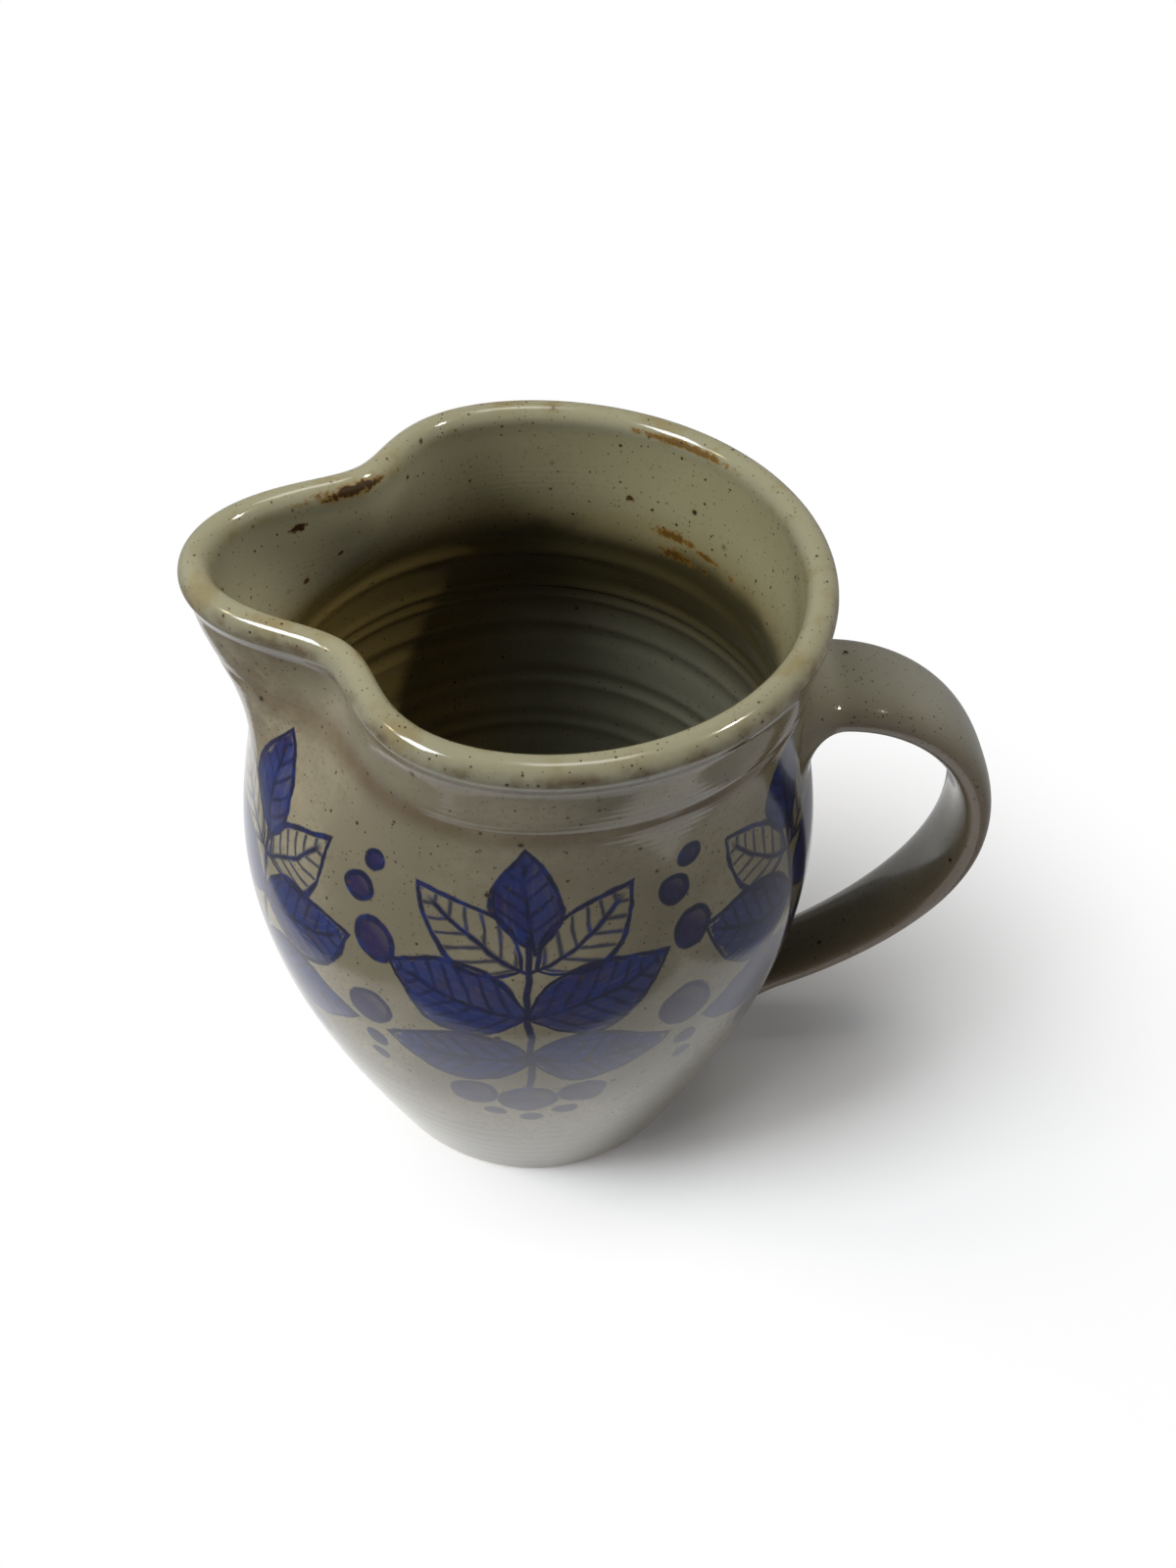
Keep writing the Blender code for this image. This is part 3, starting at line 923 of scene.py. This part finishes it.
def brushed_berries(glaze, sprig, between):
    """The washes and the lines of the berries under a sprig and beside it."""
    berry = berry_group()
    strokes = []
    for flat, spots in ((sprig, SPRIG_BERRIES), (between, BETWEEN_BERRIES)):
        for side, height, radius in spots:
            middle = (side, height, 0.0)
            strokes.append(glaze.group(berry, {"Place": flat, "Middle": middle, "Radius": radius}))
    return [stroke["Wash"] for stroke in strokes], [stroke["Line"] for stroke in strokes]


def brushed_stem(glaze, sprig):
    side, height, _ = glaze.parts(sprig)
    stem = glaze.step(glaze.math("ABSOLUTE", side), *STEM_EDGE)
    return glaze.times(glaze.times(stem, glaze.step(height, *STEM_FOOT)), glaze.step(height, *STEM_TOP))


def brush_tone(glaze, colour):
    """Sprigs of leaves and berries round the belly: washes of cobalt and violet, and dark lines."""
    sprig = drawing_place(glaze, 0.0)
    between = drawing_place(glaze, 0.5)
    leaf_washes, leaf_strokes = brushed_leaves(glaze, sprig)
    berry_washes, berry_strokes = brushed_berries(glaze, sprig, between)
    lines = leaf_strokes + berry_strokes + [brushed_stem(glaze, sprig)]
    pigment = glaze.mix(glaze.patches(*PIGMENT_STREAKS), COBALT, VIOLET)
    line_tone = glaze.mix(glaze.patches(*WATERY_LINES), LINE_BLUE, pigment)
    strength = glaze.times(glaze.linear(glaze.grain, *PIGMENT_STRENGTH), glaze.outside())
    for strokes, tone in ((leaf_washes, pigment), (berry_washes, VIOLET), (lines, line_tone)):
        colour = glaze.mix(glaze.times(glaze.most(strokes), strength), colour, tone)
    return colour


def clouded_tone(glaze):
    """The glaze's own colour: deep and pale clouds, olive mottling, greyer towards the foot."""
    colour = glaze.mix(glaze.cloud, GLAZE_DEEP, GLAZE_PALE)
    mottle = glaze.times(glaze.step(glaze.grain, *MOTTLE_GRAIN), MOTTLE_SHARE)
    colour = glaze.mix(mottle, colour, GLAZE_OLIVE)
    foot = glaze.times(glaze.step(glaze.height, *FOOT_ZONE), FOOT_SHARE)
    return glaze.mix(foot, colour, FOOT_GREY)


def inside_tone(glaze, colour):
    """A pale collar inside and an ochre band; under them painted shade, with painted light low down and warm
    painted light on the spout's side.
    """
    inside = glaze.attribute("inside")
    spout_side = glaze.step(glaze.x, *SPOUT_SIDE)
    collar = glaze.mix(spout_side, INSIDE_COLLAR, INSIDE_SPOUT)
    colour = glaze.mix(glaze.times(inside, COLLAR_SHARE), colour, collar)
    ochre = glaze.times(glaze.step(glaze.height, *OCHRE_ZONE), glaze.times(inside, OCHRE_SHARE))
    colour = glaze.mix(ochre, colour, INSIDE_OCHRE)
    # The inner wall under the collar: painted shade, painted light lower down, and warm painted light on the
    # spout's side
    wall = glaze.mix(glaze.step(glaze.height, *LOW_PAINTED_LIGHT_ZONE), INSIDE_PAINTED_SHADE, INSIDE_LOW_PAINTED_LIGHT)
    wall = glaze.mix(spout_side, wall, INSIDE_PAINTED_WARM_LIGHT)
    below_collar = glaze.step(glaze.linear(glaze.cloud, COLLAR_RAGGEDNESS, glaze.height), *COLLAR_FOOT)
    return glaze.mix(glaze.times(inside, below_collar), colour, wall)


def lip_tone(glaze, colour):
    """Olive patches on the lip, and brown where the glaze is thin along its outer edge."""
    patchy = glaze.mix(glaze.patches(*LIP_PATCHES), LIP_PALE, LIP_OLIVE)
    colour = glaze.mix(glaze.times(glaze.attribute("lip"), LIP_SHARE), colour, patchy)
    thin_edge = glaze.times(glaze.attribute("worn"), glaze.patches(*THIN_PATCHES))
    return glaze.mix(glaze.times(thin_edge, THIN_SHARE), colour, IRON_BROWN)


def spout_tone(glaze, colour):
    """Brown where the glaze broke over the outside of the pulled spout."""
    below_lip = glaze.times(glaze.less(1.0, glaze.attribute("lip")), glaze.outside())
    front = glaze.times(glaze.step(glaze.x, *SPOUT_FRONT), glaze.step(glaze.height, *SPOUT_FOOT))
    broken = glaze.times(glaze.times(front, below_lip), glaze.patches(*BROKEN_PATCHES))
    return glaze.mix(glaze.times(broken, BROKEN_SHARE), colour, IRON_BROWN)


def pooled_tone(glaze, colour):
    """Brown pools under the lip and at the neck, and dark olive in the finger rings."""
    uneven = glaze.linear(glaze.noise(glaze.place, *POOL_NOISE), *POOL_UNEVENNESS)
    colour = glaze.mix(glaze.times(glaze.attribute("pool"), uneven), colour, IRON_BROWN)
    groove = glaze.times(glaze.attribute("ring"), GROOVE_SHARE)
    return glaze.mix(groove, colour, GROOVE_OLIVE)


def iron_marks(glaze, colour):
    """Rust streaks and larger spots where iron burnt through on the inner wall and lip."""
    arc = glaze.times(glaze.angle_from_spout(), MARK_RADIUS)
    ragged = glaze.linear(glaze.noise(glaze.place, *MARK_NOISE), *MARK_RAGGEDNESS)
    within = glaze.step(glaze.attribute("inside"), *MARK_INSIDE)
    for turn, height, half_length, half_width, rust, burn in IRON_MARKS:
        across = glaze.math("DIVIDE", glaze.less(glaze.height, height), half_width)
        along = glaze.math("DIVIDE", glaze.less(arc, math.radians(turn) * MARK_RADIUS), half_length)
        square = glaze.math("ADD", glaze.times(across, across), glaze.times(along, along))
        reach = glaze.math("ADD", glaze.math("SQRT", square), ragged)
        for tone, share, edge in ((RUST, rust, RUST_EDGE), (BURN, burn, BURN_EDGE)):
            stain = glaze.times(glaze.step(reach, *edge), within)
            colour = glaze.mix(glaze.times(stain, share), colour, tone)
    return colour


def strap_tone(glaze, colour):
    """The strap's top lightened as painted light, olive glaze with painted shade lower down, and brown
    edges; its joints keep the wall's glaze.
    """
    # Painted light on the strap's top, and painted shade with olive glaze on its lower limb
    limb = glaze.step(glaze.attribute("limb"), *STRAP_LIMB)
    own = glaze.times(glaze.step(glaze.attribute("meet"), *STRAP_MEET), STRAP_SHARE)
    colour = glaze.mix(own, colour, glaze.mix(limb, HANDLE_TOP_PAINTED_LIGHT, HANDLE_OLIVE_AND_PAINTED_SHADE))
    rubbed = glaze.times(glaze.attribute("edge"), EDGE_SHARE)
    return glaze.mix(rubbed, colour, EDGE_BROWN)


def iron_specks(glaze, colour):
    """Dark dots of iron that bleed through the glaze, each with a faint brown ring."""
    for spacing, largest in SPECKS:
        spots = glaze.add("ShaderNodeTexVoronoi", {"Vector": glaze.place, "Scale": 1.0 / spacing})
        chance = glaze.parts(spots["Color"])[0]
        size = glaze.times(glaze.math("POWER", chance, SPECK_RARITY), largest / spacing)
        ratio = glaze.math("DIVIDE", spots["Distance"], glaze.math("ADD", size, LEAST_SPECK))
        halo = glaze.times(glaze.step(ratio, *SPECK_HALO), HALO_SHARE)
        colour = glaze.mix(halo, colour, IRON_BROWN)
        colour = glaze.mix(glaze.step(ratio, *SPECK_EDGE), colour, SPECK_BROWN)
    return colour


def glaze_relief(glaze):
    """Fine dimples, and faint ripples from turning that are stronger at the neck."""
    dimple = glaze.noise(glaze.place, *DIMPLES)
    drift = glaze.noise(glaze.place, *RIPPLE_NOISE)
    swirl = glaze.linear(drift, RIPPLE_DRIFT, glaze.times(glaze.height, RIPPLE_RATE))
    from_below = glaze.step(glaze.height, *NECK_FROM_BELOW)
    from_above = glaze.step(glaze.height, *NECK_FROM_ABOVE)
    turned = glaze.linear(glaze.times(from_below, from_above), *RIPPLE_STRENGTH)
    relief = glaze.linear(glaze.math("SINE", swirl), turned, dimple)
    return glaze.node("ShaderNodeBump", {
        "Height": relief, "Strength": BUMP_STRENGTH, "Distance": BUMP_DISTANCE})


def glaze_material(name, tones):
    """Glossy stoneware glaze, tinted by each tone in turn, and dull clay where it is bare."""
    material = bpy.data.materials.new(name)
    material.use_nodes = True
    glaze = Glaze(material.node_tree)
    colour = clouded_tone(glaze)
    for tone in tones:
        colour = tone(glaze, colour)
    bare = glaze.attribute("bare")
    gloss = glaze.linear(glaze.grain, *GLOSS_ROUGHNESS)
    glaze.fill(material.node_tree.nodes["Principled BSDF"], {
        "Base Color": glaze.mix(bare, colour, BARE_CLAY),
        "Roughness": glaze.math("MAXIMUM", gloss, glaze.times(bare, CLAY_ROUGHNESS)),
        "Normal": glaze_relief(glaze),
        "IOR": GLAZE_IOR,
    })
    return material


BODY_TONES = (inside_tone, lip_tone, spout_tone, pooled_tone, brush_tone, iron_marks, iron_specks)
HANDLE_TONES = (strap_tone, iron_specks)

# Floor: its tones, its shadow, and the slanting edges of the white part that the glaze mirrors
WHITE = (1.0, 1.0, 1.0, 1.0)
FLOOR_WHITE = (0.95, 0.95, 0.95, 1.0)
ROUND_GREY = (0.32, 0.32, 0.32, 1.0)
FLOOR_SIZE = 12.0
FLOOR_ROUGHNESS = 0.9
FLOOR_SPECULAR = 0.1
FRONT_EDGE = -0.128
LEFT_EDGE = -0.112
LEFT_SLANT = 0.275
RIGHT_EDGE = 0.140
RIGHT_SLANT = -0.20
EDGE_FADE = 0.01
SHADOW_MIDDLE = (0.045, -0.01, 0.0)
SHADOW_FADE = (0.015, 0.165)
FAR_FADE = (1.3, 4.0)

# Dim room: pale low down, dark overhead
WORLD_PALE = (0.32, 0.32, 0.32, 1.0)
WORLD_DIM = (0.07, 0.07, 0.075, 1.0)
WORLD_RISE = (0.3, 0.65)

# Square lamps: name, place, width, power, colour, and whether the glaze mirrors them
LAMPS = (
    ("key_soft", (-0.55, -0.17, 0.93), 0.80, 6.4, (1.0, 1.0, 1.0), False),
    ("fill_soft", (0.75, 0.22, 0.30), 0.60, 0.8, (1.0, 0.98, 0.95), False),
    ("window", (-0.60, -0.25, 0.85), 0.30, 6.6, (0.93, 0.97, 1.0), True),
    ("warm_bulb", (-0.72, -0.02, 0.80), 0.08, 0.6, (1.0, 0.80, 0.50), True),
    ("overhead", (0.12, 0.02, 1.05), 0.30, 1.6, (1.0, 0.98, 0.94), True),
)
LAMP_AIM = (0.0, 0.0, 0.10)

# Warm spot into the mouth
SPOT_PLACE = (0.50, -0.02, 0.72)
SPOT_AIM = (-0.012, 0.0, 0.145)
SPOT_RADIUS = 0.03
SPOT_POWER = 22.0
SPOT_COLOUR = (1.0, 0.93, 0.78)
SPOT_CONE = math.radians(8.6)
SPOT_BLEND = 0.4

# Camera at the photograph's viewing angle; its focal length is in pixels of the 1200 by 1600 image
CAMERA_PLACE = (0.00398, -0.19000, 0.29930)
CAMERA_TILT = math.radians(42.58)
CAMERA_ROLL = math.radians(-0.97)
CAMERA_TURN = math.radians(-1.44)
FOCAL_PIXELS = 1350.0
IMAGE_LONG_SIDE = 1600.0
SENSOR_WIDTH = 36.0


def beyond_white(shader, place):
    """0 on the white part of the floor, which has a front, a left and a right edge, and 1 beyond it."""
    x, y, _ = shader.parts(place)
    behind = shader.less(y, FRONT_EDGE)
    left = shader.linear(behind, LEFT_SLANT, x)
    right = shader.linear(behind, -RIGHT_SLANT, x)
    return shader.most([shader.step(y, FRONT_EDGE, FRONT_EDGE - EDGE_FADE),
                        shader.step(left, LEFT_EDGE, LEFT_EDGE - EDGE_FADE),
                        shader.step(right, RIGHT_EDGE, RIGHT_EDGE + EDGE_FADE)])


def floor_material():
    """White with a soft shadow; the glaze mirrors white close by, and grey round about."""
    material = bpy.data.materials.new("pale_floor")
    material.use_nodes = True
    shader = Shader(material.node_tree)
    place = shader.node("ShaderNodeTexCoord", {}, "Object")
    by_camera = shader.ray("Is Camera Ray")
    mirrored = shader.less(1.0, by_camera)
    grey = shader.times(beyond_white(shader, place), mirrored)
    distance = shader.vector("DISTANCE", place, SHADOW_MIDDLE, 1)
    away = shader.math("MAXIMUM", shader.step(distance, *SHADOW_FADE), grey)
    far = shader.times(shader.step(distance, *FAR_FADE), mirrored)
    tone = shader.mix(far, shader.mix(grey, WHITE, ROUND_GREY), WORLD_PALE)
    seen = shader.most([by_camera, shader.ray("Is Glossy Ray"), shader.ray("Is Transmission Ray")])
    plain = shader.node("ShaderNodeEmission", {"Color": tone, "Strength": 1.0})
    principled = material.node_tree.nodes["Principled BSDF"]
    shader.fill(principled, {
        "Base Color": shader.mix(grey, FLOOR_WHITE, ROUND_GREY),
        "Roughness": FLOOR_ROUGHNESS,
        "Specular IOR Level": FLOOR_SPECULAR,
    })
    surface = shader.node("ShaderNodeMixShader", {
        0: shader.times(away, seen), 1: principled.outputs["BSDF"], 2: plain})
    shader.fill(material.node_tree.nodes["Material Output"], {"Surface": surface})
    return material


def make_floor():
    bpy.ops.mesh.primitive_plane_add(size=FLOOR_SIZE)
    floor = bpy.context.object
    floor.name = "floor"
    floor.data.materials.append(floor_material())


def hang_lamp(name, data, place, aim):
    lamp = bpy.data.objects.new(name, data)
    lamp.location = place
    lamp.rotation_euler = (Vector(aim) - Vector(place)).to_track_quat("-Z", "Y").to_euler()
    bpy.context.scene.collection.objects.link(lamp)
    return lamp


def make_lamps():
    """A soft key and a weak fill, a window and a bulb that the glaze mirrors, and a lamp overhead."""
    for name, place, width, power, colour, mirrored in LAMPS:
        data = bpy.data.lights.new(name, "AREA")
        data.size = width
        data.energy = power
        data.color = colour
        hang_lamp(name, data, place, LAMP_AIM).visible_glossy = mirrored


def make_spot():
    data = bpy.data.lights.new("warm_mouth", "SPOT")
    data.shadow_soft_size = SPOT_RADIUS
    data.spot_size = SPOT_CONE
    data.spot_blend = SPOT_BLEND
    data.energy = SPOT_POWER
    data.color = SPOT_COLOUR
    hang_lamp("warm_mouth", data, SPOT_PLACE, SPOT_AIM)


def make_world():
    """A dim room to light and mirror, and plain white behind it all."""
    world = bpy.data.worlds.new("studio")
    bpy.context.scene.world = world
    world.use_nodes = True
    shader = Shader(world.node_tree)
    up = shader.parts(shader.node("ShaderNodeTexCoord", {}, "Generated"))[2]
    room = shader.mix(shader.step(up, *WORLD_RISE), WORLD_PALE, WORLD_DIM)
    colour = shader.mix(shader.ray("Is Camera Ray"), room, WHITE)
    shader.fill(world.node_tree.nodes["Background"], {"Color": colour})


def make_camera():
    data = bpy.data.cameras.new("photo_view")
    data.sensor_width = SENSOR_WIDTH
    data.lens = FOCAL_PIXELS * SENSOR_WIDTH / IMAGE_LONG_SIDE
    camera = bpy.data.objects.new("photo_view", data)
    camera.location = CAMERA_PLACE
    camera.rotation_euler = (CAMERA_TILT, CAMERA_ROLL, CAMERA_TURN)
    bpy.context.scene.collection.objects.link(camera)
    bpy.context.scene.camera = camera


def build():
    body = make_body()
    body.data.materials.append(glaze_material("body_glaze", BODY_TONES))
    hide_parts("thrown_body")
    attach(body, "root")
    handle = make_handle()
    handle.data.materials.append(glaze_material("handle_glaze", HANDLE_TONES))
    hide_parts("strap_handle", "upper_joint", "lower_joint")
    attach(handle, "root")
    make_floor()
    make_lamps()
    make_spot()
    make_world()
    make_camera()
    bpy.context.scene.view_settings.view_transform = "Standard"


build()
